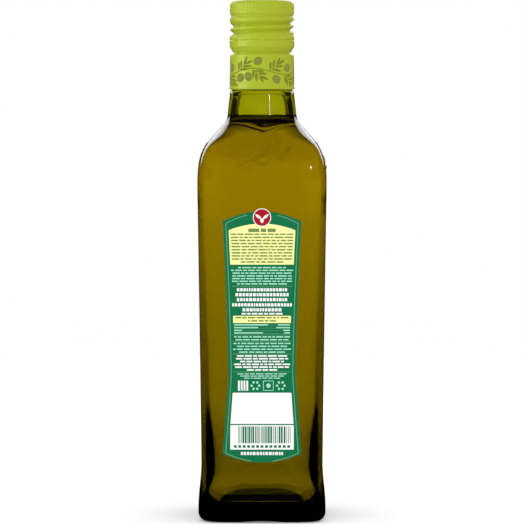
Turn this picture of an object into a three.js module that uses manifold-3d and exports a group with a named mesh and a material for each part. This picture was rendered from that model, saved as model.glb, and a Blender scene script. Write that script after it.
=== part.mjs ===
// A square, waisted glass bottle of olive oil with a long roll-on closure and a paper label on one face.
// Millimetres, +Z up. The origin is on the ground under the bottle's axis. The label faces -Y.
import * as THREE from 'three';
import Module from 'manifold-3d';
import { mergeVertices } from 'three/addons/utils/BufferGeometryUtils.js';

const wasm = await Module();
wasm.setup();

const radians = THREE.MathUtils.degToRad;

// The glass: heights above the ground, and half-widths at the middle of a face. From the waist the sides
// widen up to the shoulder, which is a convex dome, a straight slope and a concave fillet below the neck.
const TOTAL_HEIGHT = 253.5;
const HEEL = { z: 6.5, half: 31.15, radius: 3.8 };
const WAIST = { z: 27.5, half: 29.7 };
const DOME = { z: 167, half: 31.6, radius: 30.8 };
const SLOPE = { length: 8.4, angle: radians(41) };
const NECK = { filletRadius: 6.5, angle: radians(6.3), edgeRound: 0.6 };
const TAPER_CURVE = 1.15; // 1 would make the sides straight between the waist and the shoulder

// A section is a superellipse: exponent 2 is a circle, and a large one is a square with rounded corners.
const EXPONENT = { round: 2, body: 7, cavity: 12 };
const ROUNDING = { low: 181, high: 195 }; // between these heights the square turns into the round neck

// The bottle stands on a ring round a hollow. The ring is flat at its corners and lifted between them.
const RING = { inner: 22.5, lift: 0.6 };
const HOLLOW = { height: 6.5, curve: 2.4 };

// The wall's thickness at heights from its foot up: it thickens towards the heel and, a little, at the neck.
const WALL = [
  { z: 12, thickness: 5.3 },
  { z: 24, thickness: 7.4 },
  { z: 36, thickness: 7.1 },
  { z: 45, thickness: 6.3 },
  { z: 57, thickness: 5.2 },
  { z: 82, thickness: 5 },
  { z: 106, thickness: 4.5 },
  { z: 131, thickness: 3.9 },
  { z: 165, thickness: 3.2 },
  { z: 184, thickness: 3.2 },
  { z: 197, thickness: 4 },
];
const FLOOR = { edge: 9.3, crown: 14.9, fillet: 4.8, crownCurve: 5 };
const OIL = { level: 194, gap: 0.3 };

// The finish is the part of the neck under the closure, with depths measured down from the closure's top.
const FINISH = { radius: 12.3, bore: 9.3, stepDepth: 28, stepRise: 0.9, lipDepth: 2.2, edgeRound: 0.8 };
const NECK_RING = { radius: 14.7, gap: 0.3 };
const BORE_FLARE = { top: 222, bottom: 198 };

// The closure, with depths measured down from its top. Its outline is a band under the top, a groove, a bead,
// the zone that the thread is rolled into, a wide bead, a notch and the long skirt.
const CLOSURE = {
  height: 43.5, topRound: 2.4, topInside: 1.6, bore: 12.6, skirtBore: 15.1, shoulder: 26.9, shoulderRise: 0.7,
};
const CLOSURE_OUTLINE = [
  { depth: 2.4, radius: 15.75 },
  { depth: 6.1, radius: 15.75 },
  { depth: 7.5, radius: 15.1 },
  { depth: 8.9, radius: 15.75 },
  { depth: 9.9, radius: 15.75 },
  { depth: 10.8, radius: 15.5 },
  { depth: 16.6, radius: 15.5 },
  { depth: 17.9, radius: 15.85 },
  { depth: 22.4, radius: 15.85 },
  { depth: 24.4, radius: 14.8 },
  { depth: 25.3, radius: 14.1 },
  { depth: 26.7, radius: 15.65 },
  { depth: 43.5, radius: 15.85 },
];
const THREAD = {
  pitch: 3.45, depth: 1.4, halfWidth: 1.45, startDepth: 10.7, firstTurn: -0.25, lastTurn: 1.75, fade: 0.2,
  zoneTop: 9, zoneBottom: 17.8,
};

// The label, with heights on the face and half-widths. The round seal stands above its arched top edge.
const LABEL = {
  bottom: 33.7, top: 146.4, bottomHalf: 19.05, topHalf: 18.95, waistHalf: 16.3, waistShare: 0.34,
  lowerCurve: 1.1, upperCurve: 1.45, topArc: 4.8, bottomArc: 4.2, gap: 0.1, thickness: 0.2, rows: 12,
};
const SEAL = { radius: 4.4, z: 148.3 };

// The olive sprig in relief on each face of the shoulder.
const STEM = { left: -12, right: 11, low: 172.5, high: 179, bow: 2.6, radius: 0.6, sides: 5, segments: 6 };
const LEAF = { length: 7, width: 2.5, lean: radians(40), places: [0.1, 0.32, 0.54, 0.76, 0.98] };
const OLIVE = { length: 4.6, width: 3.4, turn: radians(60), drop: 3.2, shift: -0.8, places: [0.25, 0.62] };
const RELIEF = 0.5;

const POINTS_ROUND = 40;
const CORNER_CROWDING = 0.5; // 0 spaces the points evenly, and towards 1 they crowd to the corners

const mix = (a, b, share) => a + (b - a) * share;

function smooth(share) {
  const t = Math.min(1, Math.max(0, share));
  return t * t * (3 - 2 * t);
}

// The numbers from one to another, both included, in equal steps.
function steps(from, to, count) {
  return Array.from({ length: count + 1 }, (_, i) => mix(from, to, i / count));
}

// The centre of the fillet between the shoulder's slope and the neck.
const filletReach = DOME.radius + NECK.filletRadius;
const filletCentre = {
  half: DOME.half - DOME.radius + filletReach * Math.cos(SLOPE.angle) - SLOPE.length * Math.sin(SLOPE.angle),
  z: DOME.z + filletReach * Math.sin(SLOPE.angle) + SLOPE.length * Math.cos(SLOPE.angle),
};

// Where the neck's taper starts on the surface that lies `inset` inside the glass's outer face.
function neckStart(inset) {
  const radius = NECK.filletRadius + inset;
  return {
    half: filletCentre.half - radius * Math.cos(NECK.angle),
    z: filletCentre.z - radius * Math.sin(NECK.angle),
  };
}

// Half-width at height z of that surface.
function wallHalf(z, inset) {
  const domeRadius = DOME.radius - inset;
  const filletRadius = NECK.filletRadius + inset;
  const slopeStart = DOME.z + domeRadius * Math.sin(SLOPE.angle);
  const slopeHalf = DOME.half - DOME.radius + domeRadius * Math.cos(SLOPE.angle);
  const neck = neckStart(inset);
  const flareShare = smooth((z - HEEL.z) / (WAIST.z - HEEL.z));
  const taperShare = (z - WAIST.z) / (DOME.z - WAIST.z);
  const zones = [
    { top: WAIST.z, half: () => mix(HEEL.half, WAIST.half, flareShare) - inset },
    { top: DOME.z, half: () => mix(WAIST.half, DOME.half, taperShare ** TAPER_CURVE) - inset },
    { top: slopeStart, half: () => DOME.half - DOME.radius + Math.sqrt(domeRadius ** 2 - (z - DOME.z) ** 2) },
    {
      top: filletCentre.z - filletRadius * Math.sin(SLOPE.angle),
      half: () => slopeHalf - (z - slopeStart) * Math.tan(SLOPE.angle),
    },
    { top: neck.z, half: () => filletCentre.half - Math.sqrt(filletRadius ** 2 - (filletCentre.z - z) ** 2) },
    { top: Infinity, half: () => neck.half - (z - neck.z) * Math.tan(NECK.angle) },
  ];
  return zones.find((zone) => z < zone.top).half();
}

function wallThickness(z) {
  const above = WALL.find((place) => place.z >= z) ?? WALL.at(-1);
  const below = WALL.findLast((place) => place.z < z) ?? WALL[0];
  const share = (z - below.z) / Math.max(above.z - below.z, 1e-6);
  return mix(below.thickness, above.thickness, Math.min(1, Math.max(0, share)));
}

const collarTop = TOTAL_HEIGHT - CLOSURE.height - NECK_RING.gap;

// The section's exponent at height z: its reciprocal changes smoothly from the square's to the round neck's.
function exponentAt(z, squareExponent) {
  const share = smooth((z - ROUNDING.low) / (ROUNDING.high - ROUNDING.low));
  return 1 / mix(1 / squareExponent, 1 / EXPONENT.round, share);
}

// Distance from the axis to a superellipse of half-width 1, in the direction of the angle.
function reach(angle, exponent) {
  const sum = Math.abs(Math.cos(angle)) ** exponent + Math.abs(Math.sin(angle)) ** exponent;
  return sum ** (-1 / exponent);
}

// A station is one ring of a surface. Its lift raises the middles of the sides and leaves the corners flat.
const station = (half, z, exponent = EXPONENT.round, lift = 0) => ({ half, z, exponent, lift });

// A closed surface through the stations, with a pole on the axis at either end. `shape` may move each point.
function loft(stations, shape = (point) => point) {
  const angles = steps(0, 2 * Math.PI, POINTS_ROUND).slice(1).map((angle) =>
    angle + (CORNER_CROWDING / 4) * Math.sin(4 * angle));
  const points = stations.flatMap((ring) => angles.map((angle) => {
    const distance = ring.half * reach(angle, ring.exponent);
    const z = ring.z + ring.lift * smooth(Math.cos(4 * angle));
    return shape(new THREE.Vector3(distance * Math.cos(angle), distance * Math.sin(angle), z));
  }));
  const firstPole = points.push(new THREE.Vector3(0, 0, stations[0].z)) - 1;
  const lastPole = points.push(new THREE.Vector3(0, 0, stations.at(-1).z)) - 1;
  const lastRing = (stations.length - 1) * POINTS_ROUND;
  const triangles = [];
  for (let i = 0; i < POINTS_ROUND; i++) {
    const next = (i + 1) % POINTS_ROUND;
    triangles.push(firstPole, next, i);
    for (let low = 0; low < lastRing; low += POINTS_ROUND) {
      const high = low + POINTS_ROUND;
      triangles.push(low + i, low + next, high + next, low + i, high + next, high + i);
    }
    triangles.push(lastRing + i, lastRing + next, lastPole);
  }
  return new THREE.BufferGeometry().setFromPoints(points).setIndex(triangles);
}

// The underside: the hollow, the ring that the bottle stands on, and the round heel.
function undersideStations() {
  const hollow = [0.3, 0.6, 0.85].map((share) => station(
    RING.inner * share,
    HOLLOW.height * (1 - share ** HOLLOW.curve),
    mix(EXPONENT.round, EXPONENT.body, share ** 3),
  ));
  const ringOuter = HEEL.half - HEEL.radius;
  const ring = [RING.inner, ringOuter].map((half) => station(half, 0, EXPONENT.body, RING.lift));
  const heel = [0.25, 0.5, 0.75, 1].map((share) => {
    const angle = (share * Math.PI) / 2;
    const half = ringOuter + HEEL.radius * Math.sin(angle);
    const z = HEEL.radius * (1 - Math.cos(angle));
    return station(half, z, EXPONENT.body, RING.lift * (1 - share));
  });
  return [...hollow, ...ring, ...heel];
}

// The outer face from above the heel to just under the closure.
function outerStations() {
  const heights = [
    ...steps(HEEL.z, WAIST.z, 4),
    ...steps(WAIST.z, DOME.z, 5).slice(1),
    ...steps(DOME.z, neckStart(0).z, 11).slice(1),
    collarTop - NECK.edgeRound,
  ];
  return heights.map((z) => station(wallHalf(z, 0), z, exponentAt(z, EXPONENT.body)));
}

// The finish inside the closure, up to the lip and down the bore.
function finishStations() {
  const step = TOTAL_HEIGHT - FINISH.stepDepth;
  const lip = TOTAL_HEIGHT - FINISH.lipDepth;
  return [
    station(wallHalf(collarTop, NECK.edgeRound), collarTop),
    station(NECK_RING.radius, collarTop),
    station(NECK_RING.radius, step),
    station(FINISH.radius, step + FINISH.stepRise),
    station(FINISH.radius, lip - FINISH.edgeRound),
    station(FINISH.radius - FINISH.edgeRound, lip),
    station(FINISH.bore + FINISH.edgeRound, lip),
    station(FINISH.bore, lip - FINISH.edgeRound),
    station(FINISH.bore, BORE_FLARE.top),
  ];
}

// The cavity from `top` down to the middle of its floor, drawn in by `gap`.
function cavityStations(top, gap) {
  const heights = [
    neckStart(wallThickness(OIL.level)).z,
    ...steps(OIL.level, DOME.z, 9),
    ...WALL.filter(({ z }) => z > FLOOR.edge + FLOOR.fillet && z < DOME.z - 10).map(({ z }) => z).reverse(),
  ];
  const wall = [top, ...heights.filter((z) => z < top)].map((z) =>
    station(wallHalf(z, wallThickness(z)) - gap, z, exponentAt(z, EXPONENT.cavity)));
  return [...wall, ...floorStations(gap)];
}

// The cavity's floor: a round fillet at the wall, then a low crown up to the middle.
function floorStations(gap) {
  const filletTop = FLOOR.edge + FLOOR.fillet;
  const wall = wallHalf(filletTop, wallThickness(filletTop));
  const fillet = [0, 0.3, 0.6, 0.9].map((share) => {
    const angle = (share * Math.PI) / 2;
    const half = wall - FLOOR.fillet * (1 - Math.cos(angle));
    return station(half - gap, filletTop - FLOOR.fillet * Math.sin(angle) + gap, EXPONENT.cavity);
  });
  const crown = [0.94, 0.82, 0.6].map((share) => station(
    (wall - FLOOR.fillet) * share,
    mix(FLOOR.crown, FLOOR.edge, share ** FLOOR.crownCurve) + gap,
    mix(EXPONENT.round, EXPONENT.cavity, share ** 2),
  ));
  return [...fillet, ...crown];
}

// A point on the outer face that looks to -Y.
function facePoint(x, z) {
  const half = wallHalf(z, 0);
  const exponent = exponentAt(z, EXPONENT.body);
  return new THREE.Vector3(x, -half * (1 - Math.abs(x / half) ** exponent) ** (1 / exponent), z);
}

// One leaf or olive: a flattened ball half out of that face, with its long axis turned from the horizontal.
function bumpOnFace(x, z, turn, length, width) {
  const delta = 0.05;
  const across = facePoint(x + delta, z).sub(facePoint(x - delta, z)).normalize();
  const up = facePoint(x, z + delta).sub(facePoint(x, z - delta)).normalize();
  const out = new THREE.Vector3().crossVectors(across, up);
  const long = across.multiplyScalar(Math.cos(turn)).addScaledVector(up, Math.sin(turn));
  const wide = new THREE.Vector3().crossVectors(out, long);
  const place = new THREE.Matrix4().makeBasis(long, wide, out).setPosition(facePoint(x, z));
  return new THREE.SphereGeometry(1, 6, 4).scale(length / 2, width / 2, RELIEF).applyMatrix4(place);
}

// A point of the sprig's stem, which rises from left to right in a shallow bow.
function stemPoint(share) {
  const bow = STEM.bow * Math.sin(Math.PI * share);
  return { x: mix(STEM.left, STEM.right, share), z: mix(STEM.low, STEM.high, share) + bow };
}

function sprigStem() {
  const line = steps(0, 1, STEM.segments).map(stemPoint).map(({ x, z }) => facePoint(x, z));
  const rim = steps(0, 2 * Math.PI, STEM.sides).slice(1).map((angle) =>
    new THREE.Vector2(STEM.radius * Math.cos(angle), STEM.radius * Math.sin(angle)));
  return new THREE.ExtrudeGeometry(new THREE.Shape(rim), {
    steps: STEM.segments,
    bevelEnabled: false,
    extrudePath: new THREE.CatmullRomCurve3(line),
  });
}

// The leaves lean to either side of the stem in turn, and the olives hang under it.
function sprig() {
  const rise = Math.atan2(STEM.high - STEM.low, STEM.right - STEM.left);
  const leaves = LEAF.places.map((share, i) => {
    const { x, z } = stemPoint(share);
    const turn = rise + (i % 2 ? -LEAF.lean : LEAF.lean);
    const middle = { x: x + (LEAF.length / 2) * Math.cos(turn), z: z + (LEAF.length / 2) * Math.sin(turn) };
    return bumpOnFace(middle.x, middle.z, turn, LEAF.length, LEAF.width);
  });
  const olives = OLIVE.places.map((share) => {
    const { x, z } = stemPoint(share);
    return bumpOnFace(x + OLIVE.shift, z - OLIVE.drop, OLIVE.turn, OLIVE.length, OLIVE.width);
  });
  return wasm.Manifold.union([sprigStem(), ...leaves, ...olives].map(solidOf));
}

// A geometry as a solid, with only its positions kept.
function solidOf(geometry) {
  const bare = geometry.clone();
  bare.deleteAttribute('normal');
  bare.deleteAttribute('uv');
  const merged = mergeVertices(bare, 1e-4);
  return new wasm.Manifold(new wasm.Mesh({
    numProp: 3,
    vertProperties: new Float32Array(merged.attributes.position.array),
    triVerts: new Uint32Array(merged.index.array),
  }));
}

function geometryOf(solid) {
  const mesh = solid.getMesh();
  return new THREE.BufferGeometry()
    .setAttribute('position', new THREE.BufferAttribute(new Float32Array(mesh.vertProperties), 3))
    .setIndex(new THREE.BufferAttribute(new Uint32Array(mesh.triVerts), 1));
}

function bottleGlass() {
  const vessel = loft([
    ...undersideStations(),
    ...outerStations(),
    ...finishStations(),
    ...cavityStations(BORE_FLARE.bottom, 0),
  ]);
  const relief = sprig();
  const onEachFace = [0, 90, 180, 270].map((degrees) => relief.rotate([0, 0, degrees]));
  return geometryOf(wasm.Manifold.union([solidOf(vessel), ...onEachFace]));
}

function oilFill() {
  const wall = cavityStations(OIL.level, OIL.gap);
  const surface = station(wall[0].half / 2, OIL.level);
  return loft([surface, ...wall].reverse());
}

// The closure's outer radius at a depth below its top, without the thread.
function closureRadius(depth) {
  const below = CLOSURE_OUTLINE.find((point) => point.depth >= depth);
  const above = CLOSURE_OUTLINE.findLast((point) => point.depth <= depth);
  const gap = Math.max(below.depth - above.depth, 1e-6);
  return mix(above.radius, below.radius, smooth((depth - above.depth) / gap));
}

// How deep the rolled thread is at a depth below the top, in the direction of the angle.
function threadGroove(depth, angle) {
  const { firstTurn, lastTurn, fade, startDepth, pitch, halfWidth } = THREAD;
  const grooves = [-1, 0, 1, 2].map((turn) => {
    const run = turn - angle / (2 * Math.PI);
    const strength = smooth((run - firstTurn) / fade) * smooth((lastTurn - run) / fade);
    const away = Math.abs(depth - startDepth - pitch * run);
    return THREAD.depth * strength * (1 - smooth(away / halfWidth));
  });
  return Math.max(...grooves);
}

function rollThread(point) {
  const depth = TOTAL_HEIGHT - point.z;
  const radius = Math.hypot(point.x, point.y);
  const isOutside = radius > CLOSURE.skirtBore;
  if (!isOutside || depth < THREAD.zoneTop || depth > THREAD.zoneBottom) {
    return point;
  }
  const scale = 1 - threadGroove(depth, Math.atan2(point.y, point.x)) / radius;
  return new THREE.Vector3(point.x * scale, point.y * scale, point.z);
}

function closureShell() {
  const { height, topRound, topInside, bore, skirtBore, shoulder, shoulderRise } = CLOSURE;
  const at = (depth, half = closureRadius(depth)) => station(half, TOTAL_HEIGHT - depth);
  const inside = [
    at(topInside, bore),
    at(shoulder - shoulderRise, bore),
    at(shoulder, skirtBore),
    at(height, skirtBore),
  ];
  const skirt = [height, 35.5, 26.7, 26, 25.3, 24.4, 23.4, 22.4, 17.9];
  const thread = steps(17.1, 9.9, 11);
  const bands = [8.9, 8.2, 7.5, 6.8, 6.1, topRound];
  const topEdge = [30, 60, 90].map(radians).map((angle) =>
    at(topRound * (1 - Math.sin(angle)), closureRadius(topRound) - topRound * (1 - Math.cos(angle))));
  const outside = [...skirt, ...thread, ...bands].map((depth) => at(depth));
  return loft([...inside, ...outside, ...topEdge], rollThread);
}

// The label's half-width at a share of its height.
function labelHalf(share) {
  const { waistShare, waistHalf, bottomHalf, topHalf, lowerCurve, upperCurve } = LABEL;
  if (share < waistShare) {
    return mix(waistHalf, bottomHalf, (1 - share / waistShare) ** lowerCurve);
  }
  return mix(waistHalf, topHalf, ((share - waistShare) / (1 - waistShare)) ** upperCurve);
}

// The label's top and bottom edges, at a share of its half-width to either side.
function labelTop(side) {
  const arc = LABEL.top + LABEL.topArc * (1 - side ** 2);
  const sealDrop = (side * LABEL.topHalf) / SEAL.radius;
  const seal = SEAL.z + SEAL.radius * Math.sqrt(Math.max(0, 1 - sealDrop ** 2));
  return Math.abs(sealDrop) < 1 ? Math.max(arc, seal) : arc;
}

function labelBottom(side) {
  return LABEL.bottom - LABEL.bottomArc * (1 - side ** 2);
}

// A thin closed sheet that follows the face which looks to -Y.
function labelSheet() {
  const sides = [-1, -0.62, -0.235, -0.2, -0.11, 0.11, 0.2, 0.235, 0.62, 1];
  const shares = steps(0, 1, LABEL.rows);
  const faceAt = (depth) => shares.flatMap((share) => sides.map((side) => {
    const point = facePoint(side * labelHalf(share), mix(labelBottom(side), labelTop(side), share));
    return point.setY(point.y - depth);
  }));
  const points = [...faceAt(LABEL.gap), ...faceAt(LABEL.gap + LABEL.thickness)];
  const back = (row, column) => row * sides.length + column;
  const front = (row, column) => shares.length * sides.length + back(row, column);
  const triangles = [];
  const quad = (a, b, c, d) => triangles.push(a, b, c, a, c, d);
  const lastRow = shares.length - 1;
  const last = sides.length - 1;
  for (let row = 0; row < lastRow; row++) {
    for (let column = 0; column < last; column++) {
      const beside = column + 1;
      quad(front(row, column), front(row, beside), front(row + 1, beside), front(row + 1, column));
      quad(back(row, column), back(row + 1, column), back(row + 1, beside), back(row, beside));
    }
    quad(back(row, 0), front(row, 0), front(row + 1, 0), back(row + 1, 0));
    quad(back(row, last), back(row + 1, last), front(row + 1, last), front(row, last));
  }
  for (let column = 0; column < last; column++) {
    const beside = column + 1;
    quad(back(0, column), back(0, beside), front(0, beside), front(0, column));
    quad(back(lastRow, column), front(lastRow, column), front(lastRow, beside), back(lastRow, beside));
  }
  return new THREE.BufferGeometry().setFromPoints(points).setIndex(triangles);
}

function named(name, geometry, look) {
  geometry.computeVertexNormals();
  const mesh = new THREE.Mesh(geometry, new THREE.MeshStandardMaterial(look));
  mesh.name = name;
  return mesh;
}

const looks = {
  glass: { color: 0x5d6410, roughness: 0.05, metalness: 0, transparent: true, opacity: 0.45 },
  oil: { color: 0x8e7900, roughness: 0.1, metalness: 0 },
  closure: { color: 0xa5b42c, roughness: 0.35, metalness: 0.4 },
  label: { color: 0x027345, roughness: 0.6, metalness: 0 },
};

const bottle = new THREE.Group();
bottle.add(named('bottle_glass', bottleGlass(), looks.glass));
bottle.add(named('oil', oilFill(), looks.oil));
bottle.add(named('closure', closureShell(), looks.closure));
bottle.add(named('label_near', labelSheet(), looks.label));

export default bottle;
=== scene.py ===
# The looks of a shut, full bottle of olive oil: olive-green glass, the oil, a lacquered closure and a paper
# label.
# Lengths are millimetres, as in the part's own source, and become metres when a mesh is made.
import math
import random
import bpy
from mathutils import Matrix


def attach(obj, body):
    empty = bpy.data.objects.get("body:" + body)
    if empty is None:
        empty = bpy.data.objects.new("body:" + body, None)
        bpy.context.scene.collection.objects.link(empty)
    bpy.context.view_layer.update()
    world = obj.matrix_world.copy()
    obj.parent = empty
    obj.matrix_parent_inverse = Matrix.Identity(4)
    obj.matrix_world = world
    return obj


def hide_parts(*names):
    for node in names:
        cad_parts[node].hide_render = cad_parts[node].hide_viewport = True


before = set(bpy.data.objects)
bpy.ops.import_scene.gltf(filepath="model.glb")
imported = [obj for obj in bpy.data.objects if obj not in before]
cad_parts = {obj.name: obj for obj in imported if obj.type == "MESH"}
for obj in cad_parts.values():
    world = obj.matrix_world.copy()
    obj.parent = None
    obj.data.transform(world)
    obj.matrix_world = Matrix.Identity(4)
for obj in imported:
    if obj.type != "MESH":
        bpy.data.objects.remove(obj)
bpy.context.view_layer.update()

from types import SimpleNamespace as Sizes

import bpy
import numpy as np
from mathutils import Vector

MM = 0.001

# The glass, as in the part's own source: the heel, the waist, the dome of the shoulder, its straight slope,
# and the fillet and taper of the neck.
TOTAL_HEIGHT = 253.5
HEEL = Sizes(z=6.5, half=31.15, radius=3.8)
WAIST = Sizes(z=27.5, half=29.7)
DOME = Sizes(z=167, half=31.6, radius=30.8)
SLOPE = Sizes(length=8.4, angle=math.radians(41))
NECK = Sizes(fillet=6.5, angle=math.radians(6.3), edge_round=0.6)
TAPER_CURVE = 1.15
CREASE = Sizes(reach=5, spread=11)
EXPONENT = Sizes(round=2, body=7, cavity=12)
ROUNDING = Sizes(low=181, high=195)
RING = Sizes(inner=22.5, lift=0.6)
HOLLOW = Sizes(height=6.5, curve=2.4)
FLOOR = Sizes(edge=9.3, crown=14.9, fillet=4.8, crown_curve=5)
FINISH = Sizes(radius=12.3, bore=9.3, step_depth=28, step_rise=0.9, lip_depth=2.2, edge_round=0.8)
NECK_RING = Sizes(radius=14.7, gap=0.3)
BORE_FLARE = Sizes(top=222, bottom=197.5)
CORNER_CROWDING = 0.5

# The wall as (height, thickness) from its foot up: it thickens towards the heel and, a little, at the neck.
WALL = [
    (12, 5.3), (24, 7.4), (36, 7.1), (45, 6.3), (57, 5.2), (82, 5), (106, 4.5), (131, 3.9), (165, 3.2),
    (184, 3.2), (197, 3.8),
]
WALL_ROUNDING = 5

# The oil reaches into the wall, and climbs it in a meniscus above its level.
OIL = Sizes(level=193.8, reach=0.05, climb=3.6, spread=3.2)

# The closure, with depths below its top: the outline, the ribs rolled into its bands, the thread, the break
# line and the lip.
CLOSURE = Sizes(
    height=43.5, top_round=2.4, top_inside=1.6, bore=12.6, skirt_bore=15.1, shoulder=26.9, shoulder_rise=0.7,
)
CLOSURE_OUTLINE = [
    (2.4, 15.75), (6.1, 15.75), (7.5, 15.1), (8.9, 15.75), (9.9, 15.75), (10.8, 15.5), (16.6, 15.5),
    (17.9, 15.85), (22.4, 15.85), (24.4, 14.8), (25.3, 14.1), (26.7, 15.65), (43.5, 15.85),
]
THREAD = Sizes(
    pitch=3.45, depth=1.4, half_width=1.45, start=10.7, first_turn=-0.25, last_turn=1.75, fade=0.2,
    zone_top=9, zone_bottom=17.8,
)
RIBS = Sizes(count=64, depth=0.16, zones=[(1.2, 5.6), (7.9, 9.6), (16.4, 18.4)], fade=0.4)
BREAK_LINE = Sizes(depth=19.4, half_width=0.35, groove=0.3, bridges=16, bridge_share=0.16)
LIP = Sizes(depth=42.6, half_width=0.7, rise=0.14)

# The label, and the round seal that stands above its arched top edge.
LABEL = Sizes(
    bottom=33.7, top=146.4, bottom_half=19.05, top_half=18.95, waist_half=16.3, waist_share=0.34,
    lower_curve=1.1, upper_curve=1.45, top_arc=4.8, bottom_arc=4.2,
)
PAPER = Sizes(back=-0.02, print=0.12, front=0.24)
SEAL = Sizes(radius=4.4, z=148.3, rim=0.75)

# The olive sprig in relief on each face of the shoulder.
STEM = Sizes(left=-12, right=11, low=172.5, high=179, bow=2.6, radius=0.6)
LEAF = Sizes(length=7, width=2.5, lean=math.radians(40), places=[0.1, 0.32, 0.54, 0.76, 0.98])
OLIVE = Sizes(length=4.6, width=3.4, turn=math.radians(60), drop=3.2, shift=-0.8, places=[0.25, 0.62])
RELIEF = 0.5


def mix(a, b, share):
    return a + (b - a) * share


def smooth(share):
    t = np.clip(share, 0, 1)
    return t * t * (3 - 2 * t)


def steps(start, end, count):
    return np.linspace(start, end, count + 1)


FILLET_REACH = DOME.radius + NECK.fillet
FILLET = Sizes(
    half=(
        DOME.half - DOME.radius + FILLET_REACH * math.cos(SLOPE.angle)
        - SLOPE.length * math.sin(SLOPE.angle)
    ),
    z=DOME.z + FILLET_REACH * math.sin(SLOPE.angle) + SLOPE.length * math.cos(SLOPE.angle),
)
COLLAR_TOP = TOTAL_HEIGHT - CLOSURE.height - NECK_RING.gap


def neck_start(inset=0.0):
    """Where the neck's taper starts on the surface that lies `inset` inside the glass's outer face."""
    radius = NECK.fillet + inset
    return Sizes(
        half=FILLET.half - radius * math.cos(NECK.angle),
        z=FILLET.z - radius * math.sin(NECK.angle),
    )


def wall_half(z, inset=0.0):
    """Half-width of that surface at height z, with the slight crease below the dome rounded off."""
    reach = CREASE.reach * max(0.0, 1 - abs(z - DOME.z) / CREASE.spread)
    weights = ((-1, 0.25), (0, 0.5), (1, 0.25))
    return sum(part * plain_half(z + way * reach, inset) for way, part in weights)


def plain_half(z, inset):
    dome = DOME.radius - inset
    fillet = NECK.fillet + inset
    slope_start = DOME.z + dome * math.sin(SLOPE.angle)
    neck = neck_start(inset)
    if z < WAIST.z:
        return mix(HEEL.half, WAIST.half, float(smooth((z - HEEL.z) / (WAIST.z - HEEL.z)))) - inset
    if z < DOME.z:
        return mix(WAIST.half, DOME.half, ((z - WAIST.z) / (DOME.z - WAIST.z)) ** TAPER_CURVE) - inset
    if z < slope_start:
        return DOME.half - DOME.radius + math.sqrt(dome**2 - (z - DOME.z) ** 2)
    if z < FILLET.z - fillet * math.sin(SLOPE.angle):
        slope_half = DOME.half - DOME.radius + dome * math.cos(SLOPE.angle)
        return slope_half - (z - slope_start) * math.tan(SLOPE.angle)
    if z < neck.z:
        return FILLET.half - math.sqrt(fillet**2 - (FILLET.z - z) ** 2)
    return neck.half - (z - neck.z) * math.tan(NECK.angle)


def wall_thickness(z):
    """The wall's thickness at height z, with the bends between its listed places rounded off."""
    around = z + steps(-WALL_ROUNDING, WALL_ROUNDING, 4)
    return float(np.mean(np.interp(around, *zip(*WALL))))


def inner_half(z):
    return wall_half(z, wall_thickness(z))


def exponent_at(z, square):
    """The section's exponent: its reciprocal changes smoothly from the square's to the round neck's."""
    share = float(smooth((z - ROUNDING.low) / (ROUNDING.high - ROUNDING.low)))
    return 1 / mix(1 / square, 1 / EXPONENT.round, share)


def ring(half, z, exponent=EXPONENT.round, lift=0.0, count=300):
    """One closed ring of a surface, as points. The lift raises the middles of a square's sides."""
    even = np.arange(count) * 2 * math.pi / count
    angle = even + CORNER_CROWDING / 4 * np.sin(4 * even)
    reach = (np.abs(np.cos(angle)) ** exponent + np.abs(np.sin(angle)) ** exponent) ** (-1 / exponent)
    height = z + lift * smooth(np.cos(4 * angle))
    return np.stack([half * reach * np.cos(angle), half * reach * np.sin(angle), height], axis=1)


def loft(rings):
    """A closed surface through the rings, with a pole at either end.

    A ring may have twice as many points as its neighbour.
    """
    starts = np.cumsum([0] + [len(r) for r in rings])
    faces = []
    for low, high, first, second in zip(rings, rings[1:], starts, starts[1:]):
        count = min(len(low), len(high))
        at = np.arange(count)
        beside = (at + 1) % count
        if len(low) == len(high):
            faces += np.stack([first + at, first + beside, second + beside, second + at], axis=1).tolist()
        elif len(high) > len(low):
            middle = second + 2 * at + 1
            left, right = second + 2 * at, second + 2 * beside
            faces += np.stack([first + at, first + beside, right, middle, left], axis=1).tolist()
        else:
            middle = first + 2 * at + 1
            left, right = first + 2 * at, first + 2 * beside
            faces += np.stack([left, middle, right, second + beside, second + at], axis=1).tolist()
    poles = [[0, 0, rings[0][:, 2].mean()], [0, 0, rings[-1][:, 2].mean()]]
    points = np.concatenate([*rings, poles])
    first_pole, last_pole = len(points) - 2, len(points) - 1
    for i in range(len(rings[0])):
        faces.append([first_pole, (i + 1) % len(rings[0]), i])
    for i in range(len(rings[-1])):
        faces.append([starts[-2] + i, starts[-2] + (i + 1) % len(rings[-1]), last_pole])
    return points, faces


def add_piece(name, points, faces, material, node, sharp=math.radians(40)):
    """A piece of the object: a smooth-shaded mesh that rides on the body and stands for a CAD node."""
    mesh = bpy.data.meshes.new(name)
    mesh.from_pydata((np.asarray(points) * MM).tolist(), [], faces)
    mesh.shade_smooth()
    mesh.set_sharp_from_angle(angle=sharp)
    mesh.materials.append(material)
    piece = bpy.data.objects.new(name, mesh)
    bpy.context.scene.collection.objects.link(piece)
    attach(piece, "root")
    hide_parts(node)
    return piece


# Materials.

def srgb(red, green, blue):
    """A colour from 0 to 255, as linear values with an alpha of 1."""
    def linear(value):
        share = value / 255
        return share / 12.92 if share <= 0.04045 else ((share + 0.055) / 1.055) ** 2.4
    return (linear(red), linear(green), linear(blue), 1)


def new_tree(name):
    material = bpy.data.materials.new(name)
    material.use_nodes = True
    material.node_tree.nodes.clear()
    return material, material.node_tree


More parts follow.
